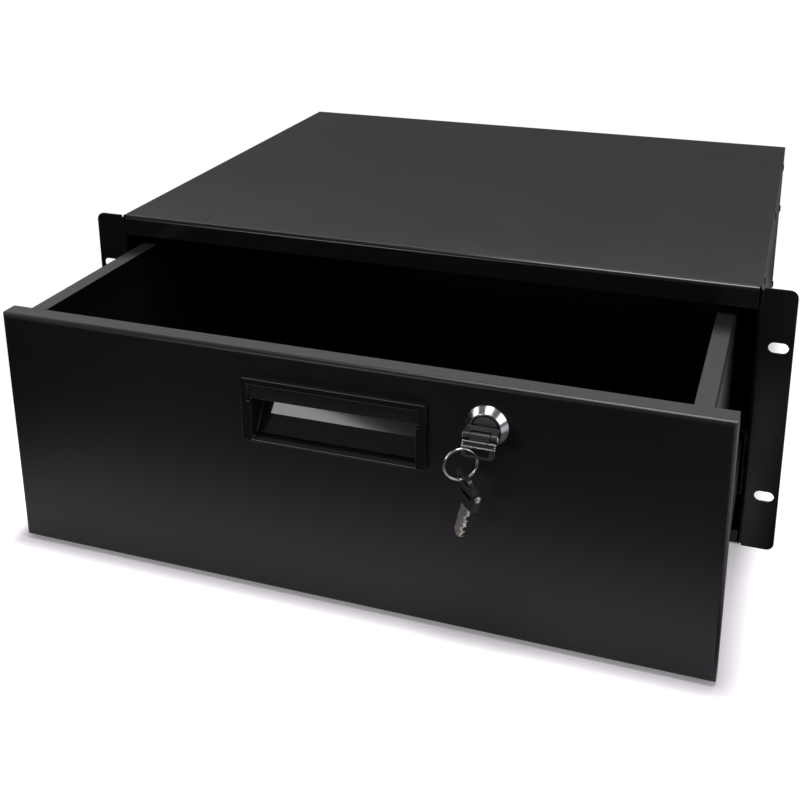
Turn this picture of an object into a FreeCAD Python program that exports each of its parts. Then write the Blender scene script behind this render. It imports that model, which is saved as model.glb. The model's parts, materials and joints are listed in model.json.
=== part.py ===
import FreeCAD, Part
import math
import os
import Sketcher

# A 4-unit sliding drawer for a 19-inch rack, with a cam lock and two folding keys on a ring.
# Millimetres and degrees. X runs to the right, Y to the rear, Z up. The origin is the middle of
# the four ear slots, on the rear face of the ears. The drawer is drawn partly open.

SIZES = {
    # case
    "case_height": 177.0,
    "case_rear_room": 27.0,
    "case_sheet": 1.2,
    "case_bend": 1.5,
    "case_flange": 16.0,
    "cover_lip": 14.0,
    "cover_setback": 2.0,
    "rear_flange": 22.4,
    "bottom_lip": 10.0,
    "ear_span": 482.6,
    "ear_width": 21.3,
    "ear_corner": 5.0,
    "relief_size": 1.4,
    "slot_inset": 8.75,
    "slot_spacing_z": 101.6,
    "slot_length": 12.0,
    "slot_height": 7.0,
    "sheet_gap": 0.2,
    # drawer
    "drawer_open": 126.0,
    "closed_gap": 0.8,
    "tray_tail": 17.0,
    "tray_bottom": 14.0,
    "tray_top": 157.6,
    "tray_sheet": 1.0,
    "tray_bend": 1.0,
    "tray_flange": 11.5,
    "panel_side_gap": 1.7,
    "panel_bottom": 2.0,
    "panel_depth": 13.0,
    "panel_sheet": 1.2,
    "panel_bend": 3.0,
    "panel_lip": 26.0,
    "cable_hole": 25.0,
    "cable_hole_x": -58.0,
    "cable_hole_z": 33.0,
    # telescopic slides
    "slide_thickness": 12.2,
    "slide_height": 45.0,
    "slide_length": 300.0,
    "slide_setback": 6.0,
    "slide_level": 55.0,
    "rail_sheet": 1.2,
    "rail_bend": 1.0,
    "rail_lip": 1.3,
    "rail_gap": 0.4,
    "screw_head_gap": 0.2,
    "ball_size": 3.6,
    "ball_play": 0.1,
    "ball_pitch": 24.0,
    "cage_length": 110.0,
    "cage_sheet": 0.4,
    "cage_gap": 0.3,
    # fasteners
    "rivet_shank": 3.2,
    "rivet_head": 6.4,
    "rivet_rise": 1.0,
    "screw_shank": 4.0,
    "screw_head": 7.0,
    "screw_rise": 0.6,
    "panel_screw_rise": 1.8,
    "panel_screw_tail": 2.0,
    "panel_screw_edge": 1.0,
    "hole_play": 0.05,
    # recessed pull handle
    "pull_width": 112.0,
    "pull_height": 40.0,
    "pull_level": 121.0,
    "pull_rise": 2.5,
    "pull_border": 4.0,
    "pull_sill": 1.4,
    "pull_body_inset": 0.5,
    "pull_hood": 10.0,
    "pull_hood_drop": 1.2,
    "pull_depth": 16.0,
    "pull_back_bend": 9.6,
    "pull_foot_depth": 7.0,
    "pull_foot_rise": 2.6,
    "pull_wall": 1.6,
    "pull_corner": 2.0,
    "pull_play": 0.8,
    "pull_catch": 1.2,
    "pull_catch_gap": 0.1,
    # cam lock
    "lock_x": 90.0,
    "lock_level": 134.2,
    "bezel_size": 24.0,
    "bezel_top": 17.8,
    "bezel_rise": 5.0,
    "bezel_edge": 0.8,
    "plug_face": 16.2,
    "plug_sink": 0.3,
    "plug_face_depth": 1.6,
    "plug_bevel": 0.4,
    "plug_barrel": 13.0,
    "plug_play": 0.08,
    "housing_size": 19.0,
    "housing_flats": 16.0,
    "housing_length": 15.8,
    "shoulder_gap": 0.2,
    "lock_nut_size": 24.0,
    "lock_nut_height": 3.0,
    "lock_port": 30.0,
    "cam_reach": 36.0,
    "cam_width": 12.0,
    "cam_sheet": 2.0,
    "cam_square": 7.0,
    "cam_screw_head": 9.0,
    "cam_screw_rise": 2.2,
    "cam_screw_end_gap": 1.2,
    # folding keys
    "blade_insert": 17.0,
    "blade_width": 8.0,
    "blade_sheet": 2.0,
    "blade_play": 0.1,
    "blade_end_gap": 0.6,
    "blade_point": 2.5,
    "cut_mouth": 1.3,
    "cut_floor": 0.4,
    "neck_width": 9.4,
    "neck_length": 1.2,
    "collar_length": 7.6,
    "collar_width": 18.5,
    "collar_thickness": 4.5,
    "collar_rim": 1.4,
    "collar_sink": 0.4,
    "collar_corner": 1.0,
    "tang_play": 0.05,
    "knuckle_width": 11.0,
    "knuckle_size": 4.2,
    "knuckle_play": 0.25,
    "pin_size": 1.8,
    "pin_head": 3.6,
    "pin_rise": 0.9,
    "pin_play": 0.05,
    "bow_length": 11.4,
    "bow_width": 18.5,
    "bow_thickness": 3.5,
    "bow_corner": 3.0,
    "bow_frame_width": 1.0,
    "bow_frame_end": 6.4,
    "bow_frame_sink": 0.5,
    "bow_slot_length": 12.0,
    "bow_slot_width": 3.4,
    "bow_slot_place": 8.3,
    "key_droop": 60.0,
    "ring_size": 19.2,
    "ring_wire": 1.3,
    "ring_heading": 30.0,
    "ring_hook_angle": 48.0,
    "ring_hook_shift": 3.4,
    "spare_hook_angle": 16.0,
    "spare_heading": 42.0,
    "spare_bow_lean": 20.0,
    "spare_blade_lean": 15.4,
    "ring_play": 1.1,
    "spare_ring_play": 0.3,
}

document = FreeCAD.newDocument("RackDrawer")
sheet = document.addObject("Spreadsheet::Sheet", "Sizes")
for row, (name, value) in enumerate(SIZES.items(), start=1):
    sheet.set(f"A{row}", name)
    sheet.set(f"B{row}", str(value))
    sheet.setAlias(f"B{row}", name)
document.recompute()


class Size:
    """A length or angle: its number, and its formula over the cells of the sheet."""

    def __init__(self, number, formula):
        self.number = number
        self.formula = formula

    def __neg__(self):
        return Size(-self.number, f"(-{self.formula})")

    def __add__(self, other):
        other = as_size(other)
        return Size(self.number + other.number, f"({self.formula} + {other.formula})")

    def __sub__(self, other):
        other = as_size(other)
        return Size(self.number - other.number, f"({self.formula} - {other.formula})")

    def __mul__(self, other):
        other = as_size(other)
        return Size(self.number * other.number, f"({self.formula} * {other.formula})")

    def __truediv__(self, other):
        other = as_size(other)
        return Size(self.number / other.number, f"({self.formula} / {other.formula})")


def as_size(value):
    return value if isinstance(value, Size) else Size(float(value), f"({float(value)})")


def cosine(angle):
    return Size(math.cos(math.radians(angle.number)), f"cos({angle.formula} * 1 deg)")


def sine(angle):
    return Size(math.sin(math.radians(angle.number)), f"sin({angle.formula} * 1 deg)")


class Cells:
    """Every cell of the sheet as a Size, by its alias."""


s = Cells()
for name, value in SIZES.items():
    setattr(s, name, Size(float(value), f"Sizes.{name}"))

NOUGHT = as_size(0)
FILLET_SLACK = 0.01  # what a full round leaves of a straight end
HEAD_CROWN = 0.72    # flat part of a fastener's head, as a share of its width
OVERRUN = 1.0        # how far a cut starts outside the piece
PLANE_ACROSS = {"X": "YZ_Plane", "Y": "XZ_Plane", "Z": "XY_Plane"}
parts = []


def place(feature, x, y, z, rotation=None):
    """Puts a feature at a point, with its three coordinates bound to the sheet."""
    if rotation is not None:
        feature.Placement = FreeCAD.Placement(FreeCAD.Vector(), rotation)
    for axis, value in (("x", x), ("y", y), ("z", z)):
        feature.setExpression(f".Placement.Base.{axis}", as_size(value).formula)
    return feature


def new_body(label, x=0, y=0, z=0, rotation=None):
    body = document.addObject("PartDesign::Body", label)
    body.Label = label
    place(body, x, y, z, rotation)
    parts.append(body)
    return body


def new_sketch(body, name, axis, level):
    """A sketch square to an axis, at a level along it."""
    sketch = body.newObject("Sketcher::SketchObject", name)
    plane = [item for item in body.Origin.OriginFeatures if item.Role == PLANE_ACROSS[axis]][0]
    sketch.AttachmentSupport = [(plane, "")]
    sketch.MapMode = "FlatFace"
    level = as_size(level)
    offset = -level if axis == "Y" else level
    sketch.setExpression(".AttachmentOffset.Base.z", offset.formula)
    return sketch


def fix_point(sketch, curve, vertex, x, y):
    """Ties one point of a curve to the sketch's origin in both directions."""
    for kind, value in (("DistanceX", x), ("DistanceY", y)):
        number = sketch.addConstraint(Sketcher.Constraint(kind, -1, 1, curve, vertex, value.number))
        sketch.setExpression(f"Constraints[{number}]", value.formula)


def polygon(*points):
    """A closed outline through the points."""
    corners = [(as_size(x), as_size(y)) for x, y in points]

    def draw(sketch):
        first = sketch.GeometryCount
        count = len(corners)
        places = [FreeCAD.Vector(x.number, y.number, 0) for x, y in corners]
        for number in range(count):
            sketch.addGeometry(Part.LineSegment(places[number], places[(number + 1) % count]), False)
        for number in range(count):
            following = first + (number + 1) % count
            sketch.addConstraint(Sketcher.Constraint("Coincident", first + number, 2, following, 1))
        for number in range(count):
            fix_point(sketch, first + number, 1, *corners[number])
    return draw


def rectangle(left, right, low, high):
    return polygon((left, low), (right, low), (right, high), (left, high))


def circle(x, y, diameter):
    x, y, diameter = as_size(x), as_size(y), as_size(diameter)

    def draw(sketch):
        centre = FreeCAD.Vector(x.number, y.number, 0)
        shape = Part.Circle(centre, FreeCAD.Vector(0, 0, 1), diameter.number / 2)
        curve = sketch.addGeometry(shape, False)
        fix_point(sketch, curve, 3, x, y)
        number = sketch.addConstraint(Sketcher.Constraint("Radius", curve, diameter.number / 2))
        sketch.setExpression(f"Constraints[{number}]", (diameter / 2).formula)
    return draw


def extrude(body, kind, name, axis, start, depth, *outlines):
    """A Pad or a Pocket over a stretch from start to start + depth along an axis."""
    start, depth = as_size(start), as_size(depth)
    at_start = (kind == "Pad") != (axis == "Y")
    sketch = new_sketch(body, f"{body.Label}_{name}_outline", axis, start if at_start else start + depth)
    for draw in outlines:
        draw(sketch)
    before = body.Shape.Volume if body.Tip else 0.0
    feature = body.newObject(f"PartDesign::{kind}", f"{body.Label}_{name}")
    feature.Profile = sketch
    feature.setExpression("Length", depth.formula)
    document.recompute()
    if abs(body.Shape.Volume - before) < 1e-6:
        raise ValueError(f"{feature.Name} changes nothing")
    return feature


def revolve(body, kind, name, axis, *outlines):
    """A Revolution or a Groove about the body's own Y axis, from an outline over X and Y."""
    sketch = new_sketch(body, f"{body.Label}_{name}_outline", "Z", 0)
    for draw in outlines:
        draw(sketch)
    before = body.Shape.Volume if body.Tip else 0.0
    feature = body.newObject(f"PartDesign::{kind}", f"{body.Label}_{name}")
    feature.Profile = sketch
    feature.ReferenceAxis = (sketch, [axis])
    feature.Angle = 360
    document.recompute()
    if abs(body.Shape.Volume - before) < 1e-6:
        raise ValueError(f"{feature.Name} changes nothing")
    return feature


def edges_at(shape, axis, places):
    """Numbers of the straight edges along an axis that stand at one of the places."""
    across = [number for number in range(3) if "XYZ"[number] != axis]
    found = []
    for number, edge in enumerate(shape.Edges, start=1):
        ends = [vertex.Point for vertex in edge.Vertexes]
        if len(ends) != 2 or not isinstance(edge.Curve, Part.Line):
            continue
        for first, second in places:
            spot = (as_size(first).number, as_size(second).number)
            if all(abs(end[across[k]] - spot[k]) < 1e-4 for end in ends for k in (0, 1)):
                found.append(number)
    return found


def fillet(body, name, radius, axes, *places):
    """Rounds the straight edges along any of the axes that stand at the places."""
    base = body.Tip
    found = sorted({number for axis in axes for number in edges_at(base.Shape, axis, places)})
    if not found:
        raise ValueError(f"{body.Label}_{name} finds no edge")
    feature = body.newObject("PartDesign::Fillet", f"{body.Label}_{name}")
    feature.Base = (base, [f"Edge{number}" for number in found])
    feature.setExpression("Radius", as_size(radius).formula)
    document.recompute()
    if "Invalid" in feature.State:
        raise ValueError(f"{feature.Name} failed")
    return feature


def fold(body, name, inner_radius, thickness, axis, outer, inner):
    """Gives one bend of a sheet its outer and inner radius."""
    fillet(body, f"{name}_outside", inner_radius + thickness, axis, outer)
    fillet(body, f"{name}_inside", inner_radius, axis, inner)


def fastener(name, point, rotation, head, rise, shank, length):
    """A low domed head that stands on a surface, and a shank that goes into it."""
    domed = document.addObject("Part::Cone", f"{name}_head")
    domed.setExpression("Radius1", (head / 2).formula)
    domed.setExpression("Radius2", (head / 2 * HEAD_CROWN).formula)
    domed.setExpression("Height", rise.formula)
    stem = document.addObject("Part::Cylinder", f"{name}_shank")
    stem.setExpression("Radius", (shank / 2).formula)
    stem.setExpression("Height", (length + rise / 2).formula)
    stem.setExpression(".Placement.Base.z", (-length).formula)
    whole = document.addObject("Part::Fuse", name)
    whole.Base = domed
    whole.Tool = stem
    place(whole, *point, rotation)
    return whole


def fastener_group(label, members):
    group = document.addObject("Part::Compound", label)
    group.Label = label
    group.Links = members
    parts.append(group)
    return group


# Places that several pieces share

base = -s.case_height / 2
case_width = s.ear_span - s.ear_width * 2
half_case = case_width / 2
wall_inside = half_case - s.case_sheet
slide_end = s.slide_setback + s.slide_length
case_rear = slide_end + s.tray_tail + s.case_rear_room - s.case_sheet
cover_half = wall_inside - s.sheet_gap
panel_back = -s.case_sheet - s.closed_gap - s.drawer_open
tray_half = wall_inside - s.slide_thickness
tray_inside = tray_half - s.tray_sheet
tray_height = s.tray_top - s.tray_bottom
tray_depth = s.case_sheet + s.closed_gap + slide_end + s.tray_tail
slide_z = base + s.slide_level
TOWARDS = {"left": -1, "right": 1}
TURN_TO = {
    "left": FreeCAD.Rotation(FreeCAD.Vector(0, 1, 0), -90),
    "right": FreeCAD.Rotation(FreeCAD.Vector(0, 1, 0), 90),
    "rear": FreeCAD.Rotation(FreeCAD.Vector(1, 0, 0), -90),
}
OPPOSITE = {"left": "right", "right": "left"}

# Case: rivets and slide screws share these places with their holes

COVER_RIVET_SHARES = (0.1, 0.5, 0.9)
REAR_RIVET_SHARES = (0.3, 0.7)
RAIL_SCREW_SHARES = (0.08, 0.5, 0.92)
PANEL_SCREW_SHARES = (0.25, 0.75)
cover_rivets_y = [case_rear * share for share in COVER_RIVET_SHARES]
rear_rivets_z = [s.case_height * share for share in REAR_RIVET_SHARES]
rivet_offset = s.case_sheet + s.case_flange / 2
rivet_hole = s.rivet_shank + s.hole_play * 2
screw_hole = s.screw_shank + s.hole_play * 2
rail_screws_y = [s.slide_length * share for share in RAIL_SCREW_SHARES]


def side_panel(side):
    """Side wall of the case with its rack ear folded outwards."""
    way = TOWARDS[side]
    body = new_body(f"{side}_side_panel", 0, 0, base)
    outer_end = s.ear_span / 2
    extrude(body, "Pad", "wall_and_ear", "Z", 0, s.case_height, polygon(
        (wall_inside * way, -s.case_sheet), (outer_end * way, -s.case_sheet), (outer_end * way, NOUGHT),
        (half_case * way, NOUGHT), (half_case * way, case_rear), (wall_inside * way, case_rear)))
    fold(body, "ear_bend", s.case_bend, s.case_sheet, "Z",
         (wall_inside * way, -s.case_sheet), (half_case * way, NOUGHT))
    near, far = sorted((wall_inside * way - way, half_case * way + way), key=lambda size: size.number)
    trim = s.cover_setback - s.sheet_gap
    for end, low in (("top", s.case_height - s.case_sheet), ("bottom", NOUGHT)):
        extrude(body, "Pocket", f"{end}_trim", "Z", low, s.case_sheet,
                rectangle(near, far, trim, case_rear + OVERRUN))
    for end, low in (("top", s.case_height - s.relief_size), ("bottom", NOUGHT)):
        start = half_case * way
        stop = (half_case + s.relief_size) * way
        left, right = sorted((start, stop), key=lambda size: size.number)
        extrude(body, "Pocket", f"{end}_relief", "Z", low, s.relief_size,
                rectangle(left, right, -s.case_sheet * 2, s.case_bend * 2))
    centre_x = (outer_end - s.slot_inset) * way
    for end, sign in (("upper", 1), ("lower", -1)):
        level = s.case_height / 2 + s.slot_spacing_z / 2 * sign
        extrude(body, "Pocket", f"{end}_slot", "Y", -s.case_sheet * 2, s.case_sheet * 3,
                rectangle(centre_x - s.slot_length / 2, centre_x + s.slot_length / 2,
                          level - s.slot_height / 2, level + s.slot_height / 2))
        fillet(body, f"{end}_slot_ends", s.slot_height / 2 - FILLET_SLACK, "Y",
               *[(centre_x + s.slot_length / 2 * a, level + s.slot_height / 2 * b)
                 for a in (-1, 1) for b in (-1, 1)])
    fillet(body, "ear_corners", s.ear_corner, "Y",
           (outer_end * way, NOUGHT), (outer_end * way, s.case_height))
    holes = [circle(y, s.case_height - rivet_offset, rivet_hole) for y in cover_rivets_y]
    holes += [circle(y, rivet_offset, rivet_hole) for y in cover_rivets_y]
    holes += [circle(case_rear - rivet_offset, z, rivet_hole) for z in rear_rivets_z]
    holes += [circle(y + s.slide_setback, s.slide_level, screw_hole) for y in rail_screws_y]
    extrude(body, "Pocket", "fixing_holes", "X", near, far - near, *holes)


def folded_cover(label, flip):
    """Top cover or bottom panel: a sheet with a folded front lip and two folded side flanges."""
    body = new_body(label, 0, 0, base)

    def level(height):
        return s.case_height - height if flip else as_size(height)

    lip = s.cover_lip if flip else s.bottom_lip
    skin = level(s.case_sheet) if flip else NOUGHT
    extrude(body, "Pad", "skin", "Z", skin, s.case_sheet, rectangle(
        -half_case, half_case, s.cover_setback, case_rear))
    low = level(lip) if flip else NOUGHT
    extrude(body, "Pad", "front", "Z", low, lip, rectangle(
        -cover_half, cover_half, -s.case_sheet, s.cover_setback))
    cut_low = low if flip else s.case_sheet
    extrude(body, "Pocket", "lip_back", "Z", cut_low, lip - s.case_sheet, rectangle(
        -cover_half - OVERRUN, cover_half + OVERRUN, NOUGHT, s.cover_setback))
    fold(body, "lip_bend", s.case_bend, s.case_sheet, "X",
         (-s.case_sheet, level(NOUGHT)), (NOUGHT, level(s.case_sheet)))
    flange_low = level(s.case_flange) if flip else s.case_sheet
    for side, way in TOWARDS.items():
        left, right = sorted((wall_inside * way, (wall_inside - s.case_sheet) * way),
                             key=lambda size: size.number)
        extrude(body, "Pad", f"{side}_flange", "Z", flange_low, s.case_flange - s.case_sheet,
                rectangle(left, right, s.case_flange, case_rear - s.case_flange * 2))
    rivet_level = level(rivet_offset)
    extrude(body, "Pocket", "rivet_holes", "X", -half_case, case_width,
            *[circle(y, rivet_level, rivet_hole) for y in cover_rivets_y])
    return body


def rear_panel():
    """Back of the case, folded forwards on all four sides."""
    body = new_body("rear_panel", 0, 0, base)
    front = case_rear - s.rear_flange
    extrude(body, "Pad", "pan", "Y", front, case_rear - front, rectangle(
        -wall_inside, wall_inside, s.case_sheet, s.case_height - s.case_sheet))
    extrude(body, "Pocket", "inside", "Y", front, case_rear - front - s.case_sheet, rectangle(
        -wall_inside + s.case_sheet, wall_inside - s.case_sheet,
        s.case_sheet * 2, s.case_height - s.case_sheet * 2))
    extrude(body, "Pocket", "rivet_holes", "X", -half_case, case_width,
            *[circle(case_rear - rivet_offset, z, rivet_hole) for z in rear_rivets_z])


def case_rivets():
    members = []
    grip = s.case_sheet * 2
    for side, way in TOWARDS.items():
        spots = [(y, base + s.case_height - rivet_offset) for y in cover_rivets_y]
        spots += [(y, base + rivet_offset) for y in cover_rivets_y]
        spots += [(case_rear - rivet_offset, base + z) for z in rear_rivets_z]
        for number, (y, z) in enumerate(spots, start=1):
            members.append(fastener(f"{side}_case_rivet_{number}", (half_case * way, y, z), TURN_TO[side],
                                    s.rivet_head, s.rivet_rise, s.rivet_shank, grip))
    fastener_group("case_rivets", members)


for side in TOWARDS:
    side_panel(side)
folded_cover("top_cover", True)
folded_cover("bottom_panel", False)
rear_panel()
case_rivets()

# Telescopic slides, drawn from the case wall towards the drawer: u is the distance from the
# wall, v the height above the slide's middle. Each slide has three rails and two ball cages.

race = s.ball_size + s.ball_play * 2
outer_reach = s.slide_thickness - s.rail_sheet - s.rail_gap
outer_face = s.slide_height / 2 - s.rail_sheet
middle_top = outer_face - race
middle_face = middle_top - s.rail_sheet
inner_top = middle_face - race
outer_cage_u = s.rail_sheet + s.screw_rise + s.screw_head_gap
middle_u = outer_cage_u + s.cage_sheet + s.cage_gap
inner_cage_u = middle_u + s.rail_sheet + s.cage_gap
inner_u = inner_cage_u + s.cage_sheet + s.cage_gap
ball_u = (inner_u + outer_reach) / 2 - s.rail_gap


def channel(body, way, web, top):
    """A rail: a web, and two flanges towards the drawer with small lips turned in at their ends."""
    thick = s.rail_sheet
    face = top - thick
    lip = face - s.rail_lip
    points = [(web, top), (outer_reach, top), (outer_reach, lip), (outer_reach - thick, lip),
              (outer_reach - thick, face), (web + thick, face)]
    points += [(x, -y) for x, y in reversed(points)]
    extrude(body, "Pad", "channel", "Y", 0, s.slide_length, polygon(*[(x * way, y) for x, y in points]))
    fillet(body, "channel_bends", s.rail_bend, "Y", *[(web * way, top * sign) for sign in (-1, 1)])


def rails(side):
    way = TOWARDS[side]
    start = s.slide_setback
    wall = wall_inside * way
    towards_drawer = -way
    outer = new_body(f"{side}_outer_rail", wall, start, slide_z)
    channel(outer, towards_drawer, NOUGHT, s.slide_height / 2)
    middle = new_body(f"{side}_middle_rail", wall, start - s.drawer_open / 2, slide_z)
    channel(middle, towards_drawer, middle_u, middle_top)
    inner = new_body(f"{side}_inner_rail", wall, start - s.drawer_open, slide_z)
    inner_channel(inner, towards_drawer)
    for body in (outer, inner):
        extrude(body, "Pocket", "screw_holes", "X", -s.slide_thickness - 1, s.slide_thickness * 2 + 2,
                *[circle(y, NOUGHT, screw_hole) for y in rail_screws_y])


def inner_channel(body, way):
    """Inner rail: its web lies on the drawer, its flanges reach back towards the case wall."""
    web = s.slide_thickness
    face = inner_top - s.rail_sheet
    points = [(web, -inner_top), (inner_u, -inner_top), (inner_u, -face), (web - s.rail_sheet, -face)]
    points += [(x, -y) for x, y in reversed(points)]
    extrude(body, "Pad", "channel", "Y", 0, s.slide_length, polygon(*[(x * way, y) for x, y in points]))
    fillet(body, "channel_bends", s.rail_bend, "Y", *[(web * way, inner_top * sign) for sign in (-1, 1)])


def cage(side, stage, web_u, mid_race, share):
    """A thin folded strip that keeps the balls of one stage apart, and its two rows of balls."""
    way = -TOWARDS[side]
    wall = wall_inside * TOWARDS[side]
    closed_y = s.slide_setback + s.slide_length / 2 - s.cage_length / 2
    y = closed_y - s.drawer_open * share
    body = new_body(f"{side}_{stage}_cage", wall, y, slide_z)
    top = mid_race + s.cage_sheet / 2
    face = top - s.cage_sheet
    reach = outer_reach - s.rail_sheet - s.cage_gap
    points = [(web_u, -top), (reach, -top), (reach, -face), (web_u + s.cage_sheet, -face)]
    points += [(x, -y) for x, y in reversed(points)]
    extrude(body, "Pad", "strip", "Y", 0, s.cage_length, polygon(*[(x * way, y) for x, y in points]))
    rows = [s.cage_length / 2 + s.ball_pitch * step for step in (-1.5, -0.5, 0.5, 1.5)]
    extrude(body, "Pocket", "ball_holes", "Z", -top * 2, top * 4,
            *[circle(ball_u * way, row, s.ball_size + s.ball_play * 2) for row in rows])
    balls = []
    for number, row in enumerate(rows):
        for sign in (-1, 1):
            ball = document.addObject("Part::Sphere", f"{side}_{stage}_ball_{number}_{(sign + 1) // 2}")
            ball.setExpression("Radius", (s.ball_size / 2).formula)
            place(ball, wall + ball_u * way, y + row, slide_z + mid_race * sign)
            balls.append(ball)
    fastener_group(f"{side}_{stage}_balls", balls)


def rail_screws(label, start, surface, heading):
    members = []
    for side, way in TOWARDS.items():
        for number, y in enumerate(rail_screws_y, start=1):
            turn = TURN_TO[heading(side)]
            members.append(fastener(f"{side}_{label}_{number}", (surface * way, start + y, slide_z), turn,
                                    s.screw_head, s.screw_rise, s.screw_shank, s.rail_sheet + s.case_sheet))
    fastener_group(label, members)


for side in TOWARDS:
    rails(side)
    cage(side, "outer", outer_cage_u, outer_face - race / 2, 0.25)
    cage(side, "inner", inner_cage_u, middle_face - race / 2, 0.75)
rail_screws("outer_rail_screws", s.slide_setback, wall_inside - s.rail_sheet, lambda side: OPPOSITE[side])


def inner_rail_screws():
    members = []
    surface = tray_half + s.rail_sheet
    for side, way in TOWARDS.items():
        for number, y in enumerate(rail_screws_y, start=1):
            point = (surface * way, s.slide_setback - s.drawer_open + y, slide_z)
            members.append(fastener(f"{side}_inner_rail_screw_{number}", point, TURN_TO[side],
                                    s.screw_head, s.screw_rise, s.screw_shank, s.rail_sheet + s.tray_sheet))
    fastener_group("inner_rail_screws", members)


inner_rail_screws()


# Drawer: its own y starts at the rear edge of the front panel

def drawer_tray():
    """Floor and two sides in one folded sheet, with the tops folded inwards."""
    body = new_body("drawer_tray", 0, panel_back, base)
    top, low, thick = s.tray_top, s.tray_bottom, s.tray_sheet
    edge = tray_half - s.tray_flange
    points = [(tray_half, low), (tray_half, top), (edge, top), (edge, top - thick),
              (tray_inside, top - thick), (tray_inside, low + thick)]
    points += [(-x, y) for x, y in reversed(points)]
    extrude(body, "Pad", "trough", "Y", 0, tray_depth, polygon(*points))
    for name, level, inside in (("top", top, top - thick), ("floor", low, low + thick)):
        fillet(body, f"{name}_bends_outside", s.tray_bend + thick, "Y",
               (tray_half, level), (-tray_half, level))
        fillet(body, f"{name}_bends_inside", s.tray_bend, "Y",
               (tray_inside, inside), (-tray_inside, inside))
    rail_start = s.slide_setback - s.drawer_open - panel_back
    extrude(body, "Pocket", "screw_holes", "X", -tray_half - 1, tray_half * 2 + 2,
            *[circle(rail_start + y, s.slide_level, screw_hole) for y in rail_screws_y])


def tray_end(label, front, flange_back, top_open):
    """A wall across the tray, folded at its edges, that stands between the tray's sides."""
    body = new_body(label, 0, panel_back, base)
    half = tray_inside
    low = s.tray_bottom + s.tray_sheet
    top = s.tray_top - s.tray_sheet - (s.tray_bend if top_open else NOUGHT)
    extrude(body, "Pad", "pan", "Y", front, s.tray_flange, rectangle(-half, half, low, top))
    hollow = front if flange_back else front + s.tray_sheet
    ceiling = top + 1 if top_open else top - s.tray_sheet
    extrude(body, "Pocket", "inside", "Y", hollow, s.tray_flange - s.tray_sheet, rectangle(
        -half + s.tray_sheet, half - s.tray_sheet, low + s.tray_sheet, ceiling))
    floor_bend = s.tray_bend + s.tray_sheet
    fillet(body, "floor_corners", floor_bend, "Y", (half, low), (-half, low))
    if not top_open:
        fillet(body, "top_corners", floor_bend, "Y", (half, top), (-half, top))
    return body


pull_body_half = s.pull_width / 2 - s.pull_border - s.pull_body_inset
pull_body_rise = s.pull_height / 2 - s.pull_border / 2 - s.pull_body_inset


def pull_cutout(play):
    half, rise = pull_body_half + play, pull_body_rise + play
    return rectangle(-half, half, s.pull_level - rise, s.pull_level + rise)


def drawer_back():
    body = tray_end("drawer_back", tray_depth - s.tray_flange, True, False)
    extrude(body, "Pocket", "cable_hole", "Y", tray_depth - s.tray_flange, s.tray_flange + 1,
            circle(s.cable_hole_x, s.cable_hole_z, s.cable_hole))


def drawer_front_wall():
    body = tray_end("drawer_front_wall", NOUGHT, False, True)
    extrude(body, "Pocket", "pull_and_lock_holes", "Y", -1, s.tray_flange,
            pull_cutout(s.pull_play * 2), circle(s.lock_x, s.lock_level, s.lock_port))
    extrude(body, "Pocket", "screw_holes", "Y", -1, s.tray_flange,
            *[circle(x, z, screw_hole) for x, z in panel_screw_spots()])


def panel_screw_spots():
    x = tray_inside - s.tray_sheet - s.screw_head / 2 - s.panel_screw_edge
    levels = [s.tray_bottom + tray_height * share for share in PANEL_SCREW_SHARES]
    return [(x * way, z) for way in (-1, 1) for z in levels]


def front_panel():
    """A shallow pan, open to the rear, with a lip turned in down each side for its screws."""
    body = new_body("front_panel", 0, panel_back, base)
    half = half_case - s.panel_side_gap
    low, top = s.panel_bottom, s.tray_top
    extrude(body, "Pad", "block", "Y", -s.panel_depth, s.panel_depth, rectangle(-half, half, low, top))
    fillet(body, "front_edges", s.panel_bend, "XZ", (-s.panel_depth, low), (-s.panel_depth, top),
           (half, -s.panel_depth), (-half, -s.panel_depth))
    sheet_in = s.panel_sheet
    extrude(body, "Pocket", "inside", "Y", -s.panel_depth + sheet_in, s.panel_depth, rectangle(
        -half + sheet_in, half - sheet_in, low + sheet_in, top - sheet_in))
    for side, way in TOWARDS.items():
        left, right = sorted(((half - sheet_in) * way, (half - sheet_in - s.panel_lip) * way),
                             key=lambda size: size.number)
        extrude(body, "Pad", f"{side}_lip", "Y", -sheet_in, sheet_in, rectangle(
            left, right, low + sheet_in, top - sheet_in))
    lock_flats = rectangle(s.lock_x - s.housing_size / 2 - s.hole_play, s.lock_x + s.housing_size / 2 +
                           s.hole_play, s.lock_level - s.housing_flats / 2 - s.hole_play,
                           s.lock_level + s.housing_flats / 2 + s.hole_play)
    extrude(body, "Pocket", "pull_and_lock_holes", "Y", -s.panel_depth - 1, s.panel_sheet + 2,
            pull_cutout(s.pull_play), lock_flats)
    extrude(body, "Pocket", "screw_holes", "Y", -sheet_in * 2, sheet_in * 3,
            *[circle(x, z, screw_hole) for x, z in panel_screw_spots()])


def panel_screws():
    members = []
    for number, (x, z) in enumerate(panel_screw_spots(), start=1):
        point = (x, panel_back + s.tray_sheet, base + z)
        members.append(fastener(f"panel_screw_{number}", point, TURN_TO["rear"], s.screw_head,
                                s.panel_screw_rise, s.screw_shank,
                                s.tray_sheet + s.panel_sheet + s.panel_screw_tail))
    fastener_group("panel_screws", members)


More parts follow.
